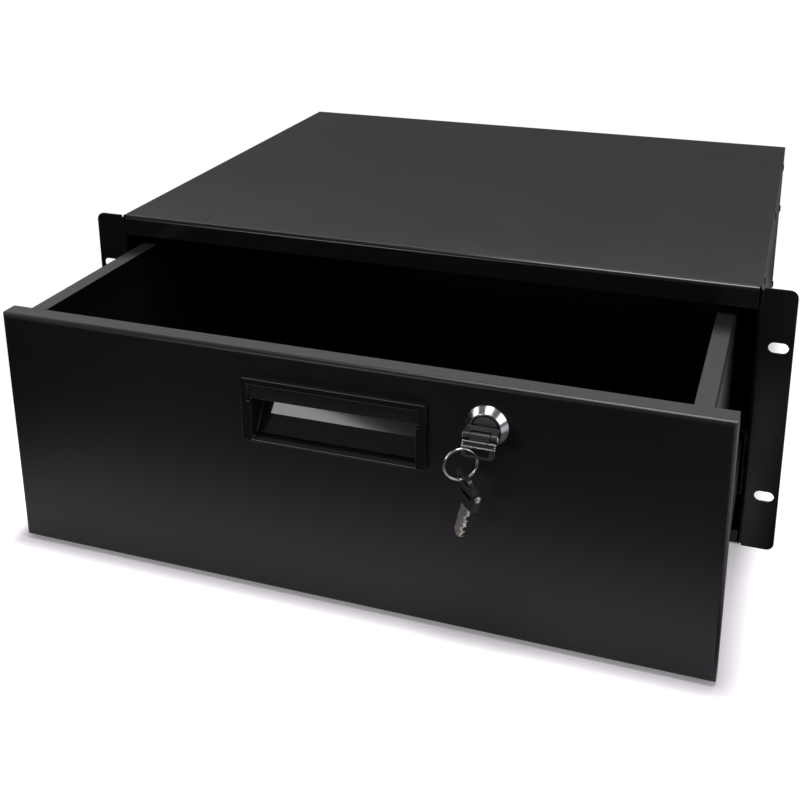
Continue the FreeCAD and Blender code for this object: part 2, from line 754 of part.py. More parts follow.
def pull_handle():
    """Recessed plastic pull: a flange on the panel, a hood over the mouth and a curved pocket."""
    body = new_body("pull_handle", 0, panel_back - s.panel_depth, base + s.pull_level)
    half, rise = s.pull_width / 2, s.pull_height / 2
    extrude(body, "Pad", "flange", "Y", -s.pull_rise, s.pull_rise, rectangle(-half, half, -rise, rise))
    fillet(body, "flange_corners", s.pull_corner, "Y",
           *[(half * a, rise * b) for a in (-1, 1) for b in (-1, 1)])
    extrude(body, "Pad", "pocket_body", "Y", 0, s.pull_depth, rectangle(
        -pull_body_half, pull_body_half, -pull_body_rise, pull_body_rise))
    back = s.pull_depth
    fillet(body, "back_bend", s.pull_back_bend, "X", (back, -pull_body_rise))
    mouth_half = half - s.pull_border
    sill = -rise + s.pull_sill
    floor = -pull_body_rise + s.pull_wall
    hood_top = rise - s.pull_border
    hood_low = hood_top - s.pull_hood
    extrude(body, "Pocket", "hood_face", "Y", -s.pull_rise - 1, s.pull_hood_drop + 1,
            rectangle(-mouth_half, mouth_half, hood_low, hood_top))
    inner_half = pull_body_half - s.pull_wall
    inner_back = s.pull_depth - s.pull_wall
    ceiling = pull_body_rise - s.pull_wall
    foot, knee = s.pull_foot_depth, floor + s.pull_foot_rise
    extrude(body, "Pocket", "finger_pocket", "X", -inner_half, inner_half * 2, polygon(
        (-s.pull_rise - OVERRUN, sill), (-s.pull_rise, sill), (NOUGHT, floor),
        (foot - s.pull_foot_rise, floor), (foot, knee), (inner_back, NOUGHT), (inner_back, ceiling), (s.pull_wall, ceiling),
        (s.pull_wall, hood_low), (-s.pull_rise - OVERRUN, hood_low)))
    start = s.panel_sheet + s.pull_catch_gap
    for side, way in TOWARDS.items():
        root, tip = pull_body_half * way, (pull_body_half + s.pull_catch) * way
        extrude(body, "Pad", f"{side}_catch", "Z", -s.pull_catch * 3, s.pull_catch * 6, polygon(
            (root, start), (tip, start), (tip, start + s.pull_catch), (root, start + s.pull_catch * 4)))


drawer_tray()
drawer_back()
drawer_front_wall()
front_panel()
panel_screws()
pull_handle()

# Cam lock: its own y starts at the front face of the panel, on the axis of the plug

panel_face = panel_back - s.panel_depth
LOCK_PLACE = (s.lock_x, panel_face, base + s.lock_level)
face_y = -s.bezel_rise + s.plug_sink
keyway_end = face_y + s.blade_insert + s.blade_end_gap
shoulder_y = s.housing_length + s.shoulder_gap
plug_end = shoulder_y + s.cam_sheet


def lock_housing():
    """Turned housing with a conical bezel outside, two flats, and a stepped bore for the plug."""
    body = new_body("lock_housing", *LOCK_PLACE)
    bore = s.plug_barrel / 2 + s.plug_play
    pit = s.plug_face / 2 + s.plug_play
    floor = face_y + s.plug_face_depth + s.plug_play
    revolve(body, "Revolution", "turned", "V_Axis", polygon(
        (pit, -s.bezel_rise), (s.bezel_top / 2, -s.bezel_rise), (s.bezel_size / 2, -s.bezel_edge),
        (s.bezel_size / 2, NOUGHT), (s.housing_size / 2, NOUGHT), (s.housing_size / 2, s.housing_length),
        (bore, s.housing_length), (bore, floor), (pit, floor)))
    reach = s.housing_size
    for end, low, high in (("upper", s.housing_flats / 2, reach), ("lower", -reach, -s.housing_flats / 2)):
        extrude(body, "Pocket", f"{end}_flat", "Y", 0, s.housing_length + 1,
                rectangle(-reach, reach, low, high))


def lock_nut():
    """Hexagonal nut that clamps the housing to the panel from inside."""
    body = new_body("lock_nut", *LOCK_PLACE)
    radius = s.lock_nut_size / 2 / math.cos(math.radians(30))
    corners = [(radius * math.cos(math.radians(a)), radius * math.sin(math.radians(a)))
               for a in range(0, 360, 60)]
    extrude(body, "Pad", "hexagon", "Y", s.panel_sheet, s.lock_nut_height,
            polygon(*corners), circle(0, 0, s.housing_size + s.hole_play * 2))


def lock_plug():
    """Turned plug with the keyway, and a square end for the cam."""
    body = new_body("lock_plug", *LOCK_PLACE)
    barrel = s.plug_barrel / 2
    face = s.plug_face / 2
    step = face_y + s.plug_face_depth
    revolve(body, "Revolution", "turned", "V_Axis", polygon(
        (NOUGHT, face_y), (face - s.plug_bevel, face_y), (face, face_y + s.plug_bevel), (face, step),
        (barrel, step),
        (barrel, shoulder_y), (NOUGHT, shoulder_y)))
    half = s.cam_square / 2
    extrude(body, "Pad", "square_end", "Y", shoulder_y - OVERRUN, s.cam_sheet + OVERRUN,
            rectangle(-half, half, -half, half))
    extrude(body, "Pocket", "keyway", "Y", face_y - OVERRUN, keyway_end - face_y + OVERRUN, rectangle(
        -s.blade_width / 2 - s.blade_play, s.blade_width / 2 + s.blade_play,
        -s.blade_sheet / 2 - s.blade_play, s.blade_sheet / 2 + s.blade_play))
    extrude(body, "Pocket", "screw_hole", "Y", keyway_end + s.cam_screw_end_gap / 2, plug_end - keyway_end,
            circle(0, 0, screw_hole))


def lock_cam():
    """Flat steel tongue; at rest it points to the left, and turned it stands behind the cover lip."""
    body = new_body("lock_cam", *LOCK_PLACE)
    half = s.cam_width / 2
    tip = -s.cam_reach
    extrude(body, "Pad", "tongue", "Y", shoulder_y, s.cam_sheet, polygon(
        (tip, -half), (half, -half), (half, half), (tip, half)))
    fillet(body, "round_end", half - FILLET_SLACK, "Y", (half, -half), (half, half))
    fillet(body, "tip_corners", s.cam_sheet * 1.5, "Y", (tip, -half), (tip, half))
    hole = s.cam_square / 2 + s.hole_play
    extrude(body, "Pocket", "square_hole", "Y", shoulder_y - 1, s.cam_sheet + 2,
            rectangle(-hole, hole, -hole, hole))


def cam_screw():
    grip = plug_end - keyway_end - s.cam_screw_end_gap
    screw = fastener("cam_screw", (s.lock_x, panel_face + plug_end, base + s.lock_level),
                     TURN_TO["rear"], s.cam_screw_head, s.cam_screw_rise, s.screw_shank, grip)
    screw.Label = "cam_screw"
    parts.append(screw)


lock_housing()
lock_nut()
lock_plug()
lock_cam()
cam_screw()

# Folding keys, drawn about the hinge pin: x across the key, y towards the tip of the blade

hinge_y = panel_face + face_y - s.neck_length - s.collar_length
KEY_HINGE = (s.lock_x, hinge_y, base + s.lock_level)
droop = FreeCAD.Rotation(FreeCAD.Vector(1, 0, 0), s.key_droop.number)
# Cuts of the key: place along the blade as a share, and depth
BITTING = ((0.84, 1.4), (0.66, 2.2), (0.48, 1.0), (0.30, 1.9))
# Outline of a pin's head: width and height as shares
PIN_DOME = ((1.0, 0.2), (0.87, 0.55), (0.5, 0.9))


def key_blade(label, hinge, rotation):
    """Flat blade with a cut edge, a wide neck and a tang inside the collar."""
    body = new_body(label, *hinge, rotation)
    half = s.blade_width / 2
    neck = s.neck_width / 2
    root = s.collar_length + s.neck_length
    tip = root + s.blade_insert
    cuts = []
    for share, depth in BITTING:
        middle = root + s.blade_insert * share
        cuts += [(half, middle + s.cut_mouth), (half - depth, middle + s.cut_floor),
                 (half - depth, middle - s.cut_floor), (half, middle - s.cut_mouth)]
    tang = s.collar_length / 2
    shoulder = root - s.blade_play
    point, flank = s.blade_point / 2, tip - s.blade_point / 2
    extrude(body, "Pad", "metal", "Z", -s.blade_sheet / 2, s.blade_sheet, polygon(
        (-neck, tang), (-neck, shoulder), (-half, shoulder), (-half, tip - s.blade_point), (-point, tip),
        (point, tip), (half - s.blade_point / 4, flank), *cuts, (half, shoulder), (neck, shoulder),
        (neck, tang)))


def key_collar(label, hinge, rotation):
    """Black plastic grip moulded round the tang, with two ears that carry the pin."""
    body = new_body(label, *hinge, rotation)
    half = s.collar_width / 2
    rise = s.collar_thickness / 2
    extrude(body, "Pad", "block", "Z", -rise, s.collar_thickness, rectangle(
        -half, half, -rise, s.collar_length))
    fillet(body, "knuckle_round", rise - s.tang_play, "X", (-rise, rise), (-rise, -rise))
    fillet(body, "corners", s.collar_corner, "Z", (half, s.collar_length), (-half, s.collar_length))
    gap = s.knuckle_width / 2 + s.knuckle_play
    reach = s.knuckle_size / 2 + s.knuckle_play * 2
    extrude(body, "Pocket", "fork", "Z", -rise - OVERRUN, s.collar_thickness + 2, rectangle(
        -gap, gap, -rise - OVERRUN, reach))
    rim = s.collar_rim
    for face, low in (("upper", rise - s.collar_sink), ("lower", -rise)):
        extrude(body, "Pocket", f"{face}_panel", "Z", low, s.collar_sink, rectangle(
            -half + rim, half - rim, reach + rim, s.collar_length - rim))
    play = s.tang_play
    extrude(body, "Pocket", "tang_slot", "Y", s.collar_length / 2 - play, s.collar_length, rectangle(
        -s.neck_width / 2 - play, s.neck_width / 2 + play, -s.blade_sheet / 2 - play,
        s.blade_sheet / 2 + play))
    extrude(body, "Pocket", "pin_hole", "X", -half - OVERRUN, s.collar_width + 2,
            circle(0, 0, s.pin_size + s.pin_play * 2))


def key_pin(label, hinge, rotation):
    """Steel pin with a head at each end, domed in three steps."""
    turn = rotation.multiply(FreeCAD.Rotation(FreeCAD.Vector(0, 0, 1), 90))
    body = new_body(label, *hinge, turn)
    half = s.collar_width / 2
    head, shank, rise = s.pin_head / 2, s.pin_size / 2, s.pin_rise
    revolve(body, "Revolution", "turned", "V_Axis", polygon(
        (NOUGHT, -half - rise), *[(head * out, -half - rise * up) for out, up in reversed(PIN_DOME)],
        (head, -half), (shank, -half), (shank, half), (head, half),
        *[(head * out, half + rise * up) for out, up in PIN_DOME], (NOUGHT, half + rise)))


def key_bow(label, hinge, rotation):
    """Black plastic bow that folds on the pin, framed on both faces, with a slot for the ring."""
    body = new_body(label, *hinge, rotation)
    half = s.bow_width / 2
    rise = s.bow_thickness / 2
    start = -s.knuckle_size / 2 - s.knuckle_play * 2
    extrude(body, "Pad", "plate", "Z", -rise, s.bow_thickness, rectangle(-half, half, -s.bow_length, start))
    fillet(body, "far_corners", s.bow_corner, "Z", (half, -s.bow_length), (-half, -s.bow_length))
    knuckle = s.knuckle_size / 2
    wide = s.knuckle_width
    extrude(body, "Pad", "knuckle", "X", -wide / 2, wide, circle(0, 0, s.knuckle_size))
    extrude(body, "Pad", "web", "X", -wide / 2, wide, rectangle(
        start - s.knuckle_play, -knuckle / 3, -rise, rise))
    extrude(body, "Pocket", "pin_hole", "X", -half, s.bow_width, circle(0, 0, s.pin_size + s.pin_play * 2))
    frame = s.bow_frame_width
    for face, low in (("upper", rise - s.bow_frame_sink), ("lower", -rise)):
        extrude(body, "Pocket", f"{face}_frame_inside", "Z", low, s.bow_frame_sink, rectangle(
            -half + frame, half - frame, -s.bow_frame_end + frame, start - frame))
        extrude(body, "Pocket", f"{face}_margin", "Z", low, s.bow_frame_sink, rectangle(
            -half - OVERRUN, half + OVERRUN, -s.bow_length - OVERRUN, -s.bow_frame_end))
    far = -s.bow_slot_place - s.bow_slot_width / 2
    extrude(body, "Pocket", "ring_slot", "Z", -rise - OVERRUN, s.bow_thickness + 2, rectangle(
        -s.bow_slot_length / 2, s.bow_slot_length / 2, far, far + s.bow_slot_width))


key_blade("key_blade", KEY_HINGE, FreeCAD.Rotation())
key_collar("key_collar", KEY_HINGE, FreeCAD.Rotation())
key_pin("key_pin", KEY_HINGE, FreeCAD.Rotation())
key_bow("key_bow", KEY_HINGE, droop)

# The ring hangs in a vertical plane from the far edge of the bow's slot

ring_radius = (s.ring_size - s.ring_wire) / 2
slot_far_side = s.bow_slot_place + s.bow_slot_width / 2 - s.ring_wire / 2
wire_rest = slot_far_side - s.ring_play
heading_x, heading_y = cosine(s.ring_heading), sine(s.ring_heading)
hook_x = s.lock_x - s.ring_hook_shift
hook_y = hinge_y - wire_rest * cosine(s.key_droop)
hook_z = base + s.lock_level - wire_rest * sine(s.key_droop)
sideways = ring_radius * cosine(s.ring_hook_angle)
ring_x = hook_x - sideways * heading_x
ring_y = hook_y - sideways * heading_y
ring_z = hook_z - ring_radius * sine(s.ring_hook_angle)

ring = document.addObject("Part::Torus", "key_ring")
ring.Label = "key_ring"
ring.setExpression("Radius1", ring_radius.formula)
ring.setExpression("Radius2", (s.ring_wire / 2).formula)
ring_normal = FreeCAD.Vector(heading_y.number, -heading_x.number, 0)
place(ring, ring_x, ring_y, ring_z, FreeCAD.Rotation(FreeCAD.Vector(0, 0, 1), ring_normal))
parts.append(ring)

# The spare key hangs low on the ring. Its bow leans one way along its heading, its blade the other.

spare_x, spare_y = cosine(s.spare_heading), sine(s.spare_heading)
SPARE_PIN_AXIS = FreeCAD.Vector(spare_y.number, -spare_x.number, 0)


def hanging_turn(lean):
    """Turns a key so that its tip hangs down and leans along the spare key's heading."""
    tip = FreeCAD.Vector(sine(lean).number * spare_x.number, sine(lean).number * spare_y.number,
                         -cosine(lean).number)
    return FreeCAD.Rotation(SPARE_PIN_AXIS, tip, SPARE_PIN_AXIS.cross(tip), "XYZ")


spare_rest = slot_far_side - s.spare_ring_play
spare_out = ring_radius * sine(s.spare_hook_angle)
bow_out = spare_rest * sine(s.spare_bow_lean)
SPARE_HINGE = (ring_x + spare_out * heading_x + bow_out * spare_x,
               ring_y + spare_out * heading_y + bow_out * spare_y,
               ring_z - ring_radius * cosine(s.spare_hook_angle) - spare_rest * cosine(s.spare_bow_lean))
spare_blade_turn = hanging_turn(-s.spare_blade_lean)
key_blade("spare_key_blade", SPARE_HINGE, spare_blade_turn)
key_collar("spare_key_collar", SPARE_HINGE, spare_blade_turn)
key_pin("spare_key_pin", SPARE_HINGE, spare_blade_turn)
key_bow("spare_key_bow", SPARE_HINGE, hanging_turn(s.spare_bow_lean))

# Every feature has to be sound before anything is written

document.recompute()
for item in document.Objects:
    if "Invalid" in item.State or "Error" in item.State:
        raise RuntimeError(f"{item.Name} failed: {item.State}")
for part in parts:
    if part.Shape.isNull() or not part.Shape.isValid():
        raise RuntimeError(f"{part.Label} has no sound shape")

os.makedirs("parts", exist_ok=True)
for part in parts:
    part.Shape.exportStep(os.path.join("parts", f"{part.Label}.step"))
print(len(parts), "parts written,", sum(len(part.Shape.Solids) for part in parts), "solids")
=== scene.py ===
import json

import bmesh
import bpy
import numpy as np
from mathutils import Matrix, Quaternion, Vector


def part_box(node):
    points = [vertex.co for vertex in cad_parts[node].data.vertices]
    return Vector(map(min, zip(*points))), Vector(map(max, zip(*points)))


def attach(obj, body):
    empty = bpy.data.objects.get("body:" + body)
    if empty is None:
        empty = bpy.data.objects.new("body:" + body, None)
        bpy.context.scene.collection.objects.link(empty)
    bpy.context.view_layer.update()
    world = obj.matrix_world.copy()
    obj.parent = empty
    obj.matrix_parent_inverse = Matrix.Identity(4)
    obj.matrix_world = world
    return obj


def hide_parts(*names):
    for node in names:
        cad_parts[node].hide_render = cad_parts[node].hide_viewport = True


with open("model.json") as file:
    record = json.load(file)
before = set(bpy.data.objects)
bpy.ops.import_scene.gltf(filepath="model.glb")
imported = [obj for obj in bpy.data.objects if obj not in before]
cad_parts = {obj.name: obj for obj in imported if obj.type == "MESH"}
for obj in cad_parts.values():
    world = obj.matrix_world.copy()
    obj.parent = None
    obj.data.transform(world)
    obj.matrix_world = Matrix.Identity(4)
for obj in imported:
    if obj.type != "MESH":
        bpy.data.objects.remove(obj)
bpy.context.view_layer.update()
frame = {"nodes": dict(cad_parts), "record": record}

# Case: side panels with their rack ears, cover, base and back. Folded mild steel sheet, 1.2 mm
# thick, degreased, sprayed with polyester powder and baked, so every cut edge is slightly rounded
# by the coat and the flat faces keep a fine orange peel.

MM = 0.001


def linear(code):
    """Turns an sRGB hex colour into the linear values that a shader takes."""
    channels = np.array([int(code[place:place + 2], 16) for place in (1, 3, 5)]) / 255
    low = channels / 12.92
    high = ((channels + 0.055) / 1.055) ** 2.4
    return (*np.where(channels <= 0.04045, low, high).tolist(), 1.0)


def node(material, kind, links=None, **settings):
    """Adds one node. Its settings are given by name; links holds a value or a socket per input."""
    made = material.node_tree.nodes.new(kind)
    for name, value in settings.items():
        setattr(made, name, value)
    for name, value in (links or {}).items():
        if isinstance(value, bpy.types.NodeSocket):
            material.node_tree.links.new(value, made.inputs[name])
        else:
            made.inputs[name].default_value = value
    return made


def new_material(name):
    """An empty node material, and the output that its shader goes to."""
    material = bpy.data.materials.new(name)
    material.use_nodes = True
    material.node_tree.nodes.clear()
    return material, material.node_tree.nodes.new("ShaderNodeOutputMaterial")


ORANGE_PEEL = 1.2 * MM
COAT_CLOUDS = 70 * MM


def powder_coat(name, tone, worn_tone, roughness):
    """Baked polyester powder on steel: near black and satin, with an orange peel and wide, faint
    clouds in its colour and gloss. The peel is drawn at twice its real 0.6 mm so that it shows."""
    material, output = new_material(name)
    place = node(material, "ShaderNodeTexCoord").outputs["Object"]
    peel = node(material, "ShaderNodeTexNoise", {"Vector": place, "Scale": 1 / ORANGE_PEEL,
                                                 "Detail": 2.0, "Roughness": 0.55})
    cloud = node(material, "ShaderNodeTexNoise", {"Vector": place, "Scale": 1 / COAT_CLOUDS,
                                                  "Detail": 3.0, "Roughness": 0.6})
    shade = node(material, "ShaderNodeMix", {"Factor": cloud.outputs["Fac"], 6: linear(tone),
                                             7: linear(worn_tone)}, data_type="RGBA")
    mottle = node(material, "ShaderNodeMath", {0: peel.outputs["Fac"], 1: cloud.outputs["Fac"]})
    gloss = node(material, "ShaderNodeMapRange", {
        "Value": mottle.outputs[0], "From Max": 2.0, "To Min": roughness - 0.05,
        "To Max": roughness + 0.06})
    relief = node(material, "ShaderNodeBump", {"Height": peel.outputs["Fac"], "Strength": 0.1,
                                               "Distance": 0.05 * MM})
    shader = node(material, "ShaderNodeBsdfPrincipled", {
        "Base Color": shade.outputs[2], "Roughness": gloss.outputs["Result"],
        "Normal": relief.outputs["Normal"], "IOR": 1.5})
    material.node_tree.links.new(shader.outputs["BSDF"], output.inputs["Surface"])
    return material


BODY_OF = {name: body for body, names in frame["record"]["behaviour"]["bodies"].items()
           for name in names}
ROUNDED_FROM = 32


def dressed_copy(name, source, material, edge, segments=2, crisp=ROUNDED_FROM, flat=0.5):
    """A merged copy of a CAD node, its faces joined where they meet at under flat degrees. Edges
    over ROUNDED_FROM degrees are rounded by edge metres, those over crisp degrees stay sharp, and
    the large faces keep their own normals."""
    original = frame["nodes"][source]
    mesh = original.data.copy()
    mesh.name = name
    work = bmesh.new()
    work.from_mesh(mesh)
    bmesh.ops.remove_doubles(work, verts=work.verts, dist=1e-6)
    if flat:
        bmesh.ops.dissolve_limit(work, angle_limit=np.radians(flat), verts=work.verts,
                                 edges=work.edges)
    work.to_mesh(mesh)
    work.free()
    mesh.materials.clear()
    mesh.materials.append(material)
    mesh.polygons.foreach_set("use_smooth", np.ones(len(mesh.polygons), dtype=bool))
    mesh.set_sharp_from_angle(angle=np.radians(crisp))
    piece = bpy.data.objects.new(name, mesh)
    bpy.context.scene.collection.objects.link(piece)
    rounding = piece.modifiers.new("coat_edges", "BEVEL")
    rounding.width = edge
    rounding.segments = segments
    rounding.limit_method = "ANGLE"
    rounding.angle_limit = np.radians(ROUNDED_FROM)
    rounding.harden_normals = True
    levelled = piece.modifiers.new("flat_faces", "WEIGHTED_NORMAL")
    levelled.weight = 100
    levelled.keep_sharp = True
    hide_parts(source)
    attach(piece, BODY_OF[source])
    return piece


case_coat = powder_coat("powder_coated_case_steel", "#141415", "#171718", 0.215)
for sheet in ("left_side_panel", "right_side_panel", "top_cover", "bottom_panel", "rear_panel"):
    dressed_copy(f"{sheet}_coated", sheet, case_coat, 0.25 * MM)

# Drawer: a folded tray, two end walls and the front panel, which is a shallow pan. Mild steel
# sheet, powder coated after folding and a little duller than the case. The panel is screwed to
# the front wall from inside. The back wall has a round hole for cables.

drawer_coat = powder_coat("powder_coated_drawer_steel", "#131314", "#171718", 0.36)
for sheet in ("drawer_tray", "drawer_front_wall"):
    dressed_copy(f"{sheet}_coated", sheet, drawer_coat, 0.22 * MM)
dressed_copy("drawer_back_coated", "drawer_back", drawer_coat, 0.15 * MM, flat=0)
dressed_copy("front_panel_coated", "front_panel", drawer_coat, 0.45 * MM, 3)

# Rivets of the case: steel blind rivets with domed heads, which hold the folded sheets together.
# They are set before the case is sprayed, so that the same coat covers them.

dressed_copy("case_rivets_domed", "case_rivets", case_coat, 0.3 * MM)


# Slides and fixings: rails rolled from cold steel strip and electro-coated black, spring-steel
# cages and polished balls between them. The screws, the lock's nut and its cam are turned or
# stamped steel, zinc plated and passivated.

DRAWING_LINES = 0.8 * MM


def bright_steel(name, tone, along):
    """Steel, bare or zinc plated, whose gloss and relief follow one noise. The noise is scaled by
    along in x, y and z, so that a small scale draws it out into lines, as drawing the strip does.
    It is drawn at twice its real 0.4 mm so that it shows."""
    material, output = new_material(name)
    place = node(material, "ShaderNodeTexCoord").outputs["Object"]
    stretch = node(material, "ShaderNodeMapping", {"Vector": place, "Scale": along})
    lines = node(material, "ShaderNodeTexNoise", {"Vector": stretch.outputs["Vector"],
                                                  "Scale": 1 / DRAWING_LINES, "Detail": 2.0})
    gloss = node(material, "ShaderNodeMapRange", {"Value": lines.outputs["Fac"], "To Min": 0.24,
                                                  "To Max": 0.42})
    relief = node(material, "ShaderNodeBump", {"Height": lines.outputs["Fac"], "Strength": 0.12,
                                               "Distance": 0.03 * MM})
    shader = node(material, "ShaderNodeBsdfPrincipled", {
        "Base Color": linear(tone), "Metallic": 1.0, "Roughness": gloss.outputs["Result"],
        "Normal": relief.outputs["Normal"]})
    material.node_tree.links.new(shader.outputs["BSDF"], output.inputs["Surface"])
    return material


rail_black = powder_coat("electro_coated_rail_steel", "#141415", "#18181a", 0.38)
fixing_zinc = bright_steel("zinc_plated_steel", "#c3c7cb", (1.0, 1.0, 1.0))
cage_steel = bright_steel("bright_cage_steel", "#b9b6ae", (1.0, 0.2, 1.0))
ball_steel = bright_steel("polished_ball_steel", "#d6d7da", (1.0, 1.0, 1.0))


def repaint(name, material):
    """Gives a CAD node, whose shape is right as it is, a new material in every slot."""
    mesh = frame["nodes"][name].data
    if not mesh.materials:
        mesh.materials.append(material)
    for place in range(len(mesh.materials)):
        mesh.materials[place] = material


for side in ("left", "right"):
    for stage in ("outer", "middle", "inner"):
        repaint(f"{side}_{stage}_rail", rail_black)
    for stage in ("outer", "inner"):
        repaint(f"{side}_{stage}_cage", cage_steel)
        repaint(f"{side}_{stage}_balls", ball_steel)
for fixing in ("outer_rail_screws", "inner_rail_screws", "panel_screws", "cam_screw", "lock_nut",
               "lock_cam"):
    repaint(fixing, fixing_zinc)


# Pull handle: one injection moulding in black ABS, semi-gloss, with a hooded pocket for the
# fingers. It is pushed into the panel from the front and held there by the catches on its sides.

ERODED_GRAIN = 0.5 * MM


def moulded_plastic(name, tone, roughness):
    """Injection-moulded plastic with the fine grain of a spark-eroded mould, which shows in its
    gloss and, faintly, in its relief."""
    material, output = new_material(name)
    place = node(material, "ShaderNodeTexCoord").outputs["Object"]
    grain = node(material, "ShaderNodeTexNoise", {"Vector": place, "Scale": 1 / ERODED_GRAIN,
                                                  "Detail": 2.0})
    gloss = node(material, "ShaderNodeMapRange", {
        "Value": grain.outputs["Fac"], "To Min": roughness * 0.7, "To Max": roughness * 1.4})
    relief = node(material, "ShaderNodeBump", {"Height": grain.outputs["Fac"], "Strength": 0.04,
                                               "Distance": 0.03 * MM})
    shader = node(material, "ShaderNodeBsdfPrincipled", {
        "Base Color": linear(tone), "Roughness": gloss.outputs["Result"],
        "Normal": relief.outputs["Normal"], "IOR": 1.53})
    material.node_tree.links.new(shader.outputs["BSDF"], output.inputs["Surface"])
    return material


handle_abs = moulded_plastic("moulded_black_abs", "#232325", 0.06)
POCKET_CREASE = 12  # the least angle in degrees that stays sharp
moulding = dressed_copy("pull_handle_moulding", "pull_handle", handle_abs, 0.4 * MM, 3,
                        POCKET_CREASE)
PANEL_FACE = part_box("front_panel")[0][1]
HANDLE_MIDDLE = (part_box("pull_handle")[0][2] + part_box("pull_handle")[1][2]) / 2
SAME_CORNER = 0.15


def shift_corners(mesh, old, new):
    """Moves the moulding's corners that lie at old to new, both given as depth behind the panel's
    face and rise over the handle's middle, in millimetres."""
    corners = np.empty((len(mesh.vertices), 3), dtype=np.float32)
    mesh.vertices.foreach_get("co", corners.ravel())
    depth = (corners[:, 1].astype(float) - PANEL_FACE) / MM
    rise = (corners[:, 2].astype(float) - HANDLE_MIDDLE) / MM
    moved = np.hypot(depth - old[0], rise - old[1]) < SAME_CORNER
    corners[moved, 1] = PANEL_FACE + new[0] * MM
    corners[moved, 2] = HANDLE_MIDDLE + new[1] * MM
    mesh.vertices.foreach_set("co", corners.ravel())
    mesh.update()
    mesh.set_sharp_from_angle(angle=np.radians(POCKET_CREASE))


# The crease across the pocket's back, the hood's lower edge, and the sill's two lower edges.
for old_corner, new_corner in (((7.0, -13.3), (11.2, -7.5)), ((-1.3, 6.0), (-0.1, 6.4)),
                               ((0.0, -15.9), (0.0, -17.0)), ((4.4, -15.9), (4.4, -17.0))):
    shift_corners(moulding.data, old_corner, new_corner)


# Lock: a die-cast zinc housing with a turned bezel, polished and chrome plated, and a brass plug
# in it, nickel plated and faced on a lathe. The nut behind the panel clamps the housing.

PLATING_HAZE = 3 * MM


def plated(name, tone, roughness):
    """Electroplated metal, polished before plating, with a faint haze in its gloss."""
    material, output = new_material(name)
    place = node(material, "ShaderNodeTexCoord").outputs["Object"]
    haze = node(material, "ShaderNodeTexNoise", {"Vector": place, "Scale": 1 / PLATING_HAZE,
                                                 "Detail": 3.0})
    gloss = node(material, "ShaderNodeMapRange", {
        "Value": haze.outputs["Fac"], "To Min": roughness * 0.7, "To Max": roughness * 1.5})
    shader = node(material, "ShaderNodeBsdfPrincipled", {
        "Base Color": linear(tone), "Metallic": 1.0, "Roughness": gloss.outputs["Result"]})
    material.node_tree.links.new(shader.outputs["BSDF"], output.inputs["Surface"])
    return material


LATHE_RINGS = 0.35 * MM


def turned_face(name, tone, gap_shade_tone, axis, radius):
    """Nickel-plated brass faced on a lathe: the gloss follows the sine of the distance from the
    axis, given as x and z, one ring every LATHE_RINGS, and a painted shade for the dark gap round
    the plug turns the colour towards a dark tone between 0.86 and 0.95 of the radius."""
    material, output = new_material(name)
    place = node(material, "ShaderNodeTexCoord").outputs["Object"]
    level = node(material, "ShaderNodeVectorMath", {0: place, 1: (1.0, 0.0, 1.0)},
                 operation="MULTIPLY")
    span = node(material, "ShaderNodeVectorMath", {0: level.outputs[0], 1: (axis[0], 0.0, axis[1])},
                operation="DISTANCE").outputs["Value"]
    wave = node(material, "ShaderNodeMath", {0: span, 1: 2 * np.pi / LATHE_RINGS},
                operation="MULTIPLY")
    ridge = node(material, "ShaderNodeMath", {0: wave.outputs[0]}, operation="SINE").outputs[0]
    # Painted shade: the plug's outer rim is darkened where the gap round it lies.
    gap_shade = node(material, "ShaderNodeMapRange", {"Value": span, "From Min": radius * 0.86,
                                                "From Max": radius * 0.95}).outputs["Result"]
    tint = node(material, "ShaderNodeMix", {"Factor": gap_shade, 6: linear(tone), 7: linear(gap_shade_tone)},
                data_type="RGBA").outputs[2]
    gloss = node(material, "ShaderNodeMapRange", {"Value": ridge, "From Min": -1.0, "To Min": 0.2,
                                                  "To Max": 0.34}).outputs["Result"]
    shader = node(material, "ShaderNodeBsdfPrincipled", {
        "Base Color": tint, "Metallic": 1.0, "Roughness": gloss})
    material.node_tree.links.new(shader.outputs["BSDF"], output.inputs["Surface"])
    return material


chrome = plated("bright_chrome_plate", "#dcdee0", 0.15)
nickel = plated("nickel_plate", "#d2cec6", 0.26)
plug_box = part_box("lock_plug")
LOCK_RISE = 0.0457
PLUG_AXIS = ((plug_box[0][0] + plug_box[1][0]) / 2, LOCK_RISE)
PLUG_RADIUS = 8.1 * MM
# The second, dark tone is the painted shade of the gap round the plug.
plug_nickel = turned_face("turned_nickel_plug", "#b8b5ae", "#141414", PLUG_AXIS, PLUG_RADIUS)
dressed_copy("lock_bezel_and_housing", "lock_housing", chrome, 0.2 * MM, 3)
dressed_copy("lock_plug_turned", "lock_plug", plug_nickel, 0.15 * MM, 2)

# Keys and their ring: nickel-plated blades, stamped and then cut, in black moulded collars. Each
# bow folds on a steel pin whose ends are domed over. The ring is chrome-plated spring wire.

key_plastic = moulded_plastic("moulded_key_plastic", "#1c1c1d", 0.36)
for key in ("key", "spare_key"):
    dressed_copy(f"{key}_blade_cut", f"{key}_blade", nickel, 0.15 * MM, 2)
    dressed_copy(f"{key}_pin_domed", f"{key}_pin", nickel, 0.1 * MM, 2)
    dressed_copy(f"{key}_collar_moulded", f"{key}_collar", key_plastic, 0.25 * MM, 2)
    dressed_copy(f"{key}_bow_moulded", f"{key}_bow", key_plastic, 0.4 * MM, 3)
dressed_copy("key_ring_wire", "key_ring", chrome, 0.05 * MM, 2)


# Bead line on the bow in the lock: a row of small half balls round the edge of the bow, moulded
# with it in the same plastic; their near-white colour is a painted highlight along the raised rim.

BEAD_SIDES = 8
BEAD_CLIMB = (0, 30, 60)


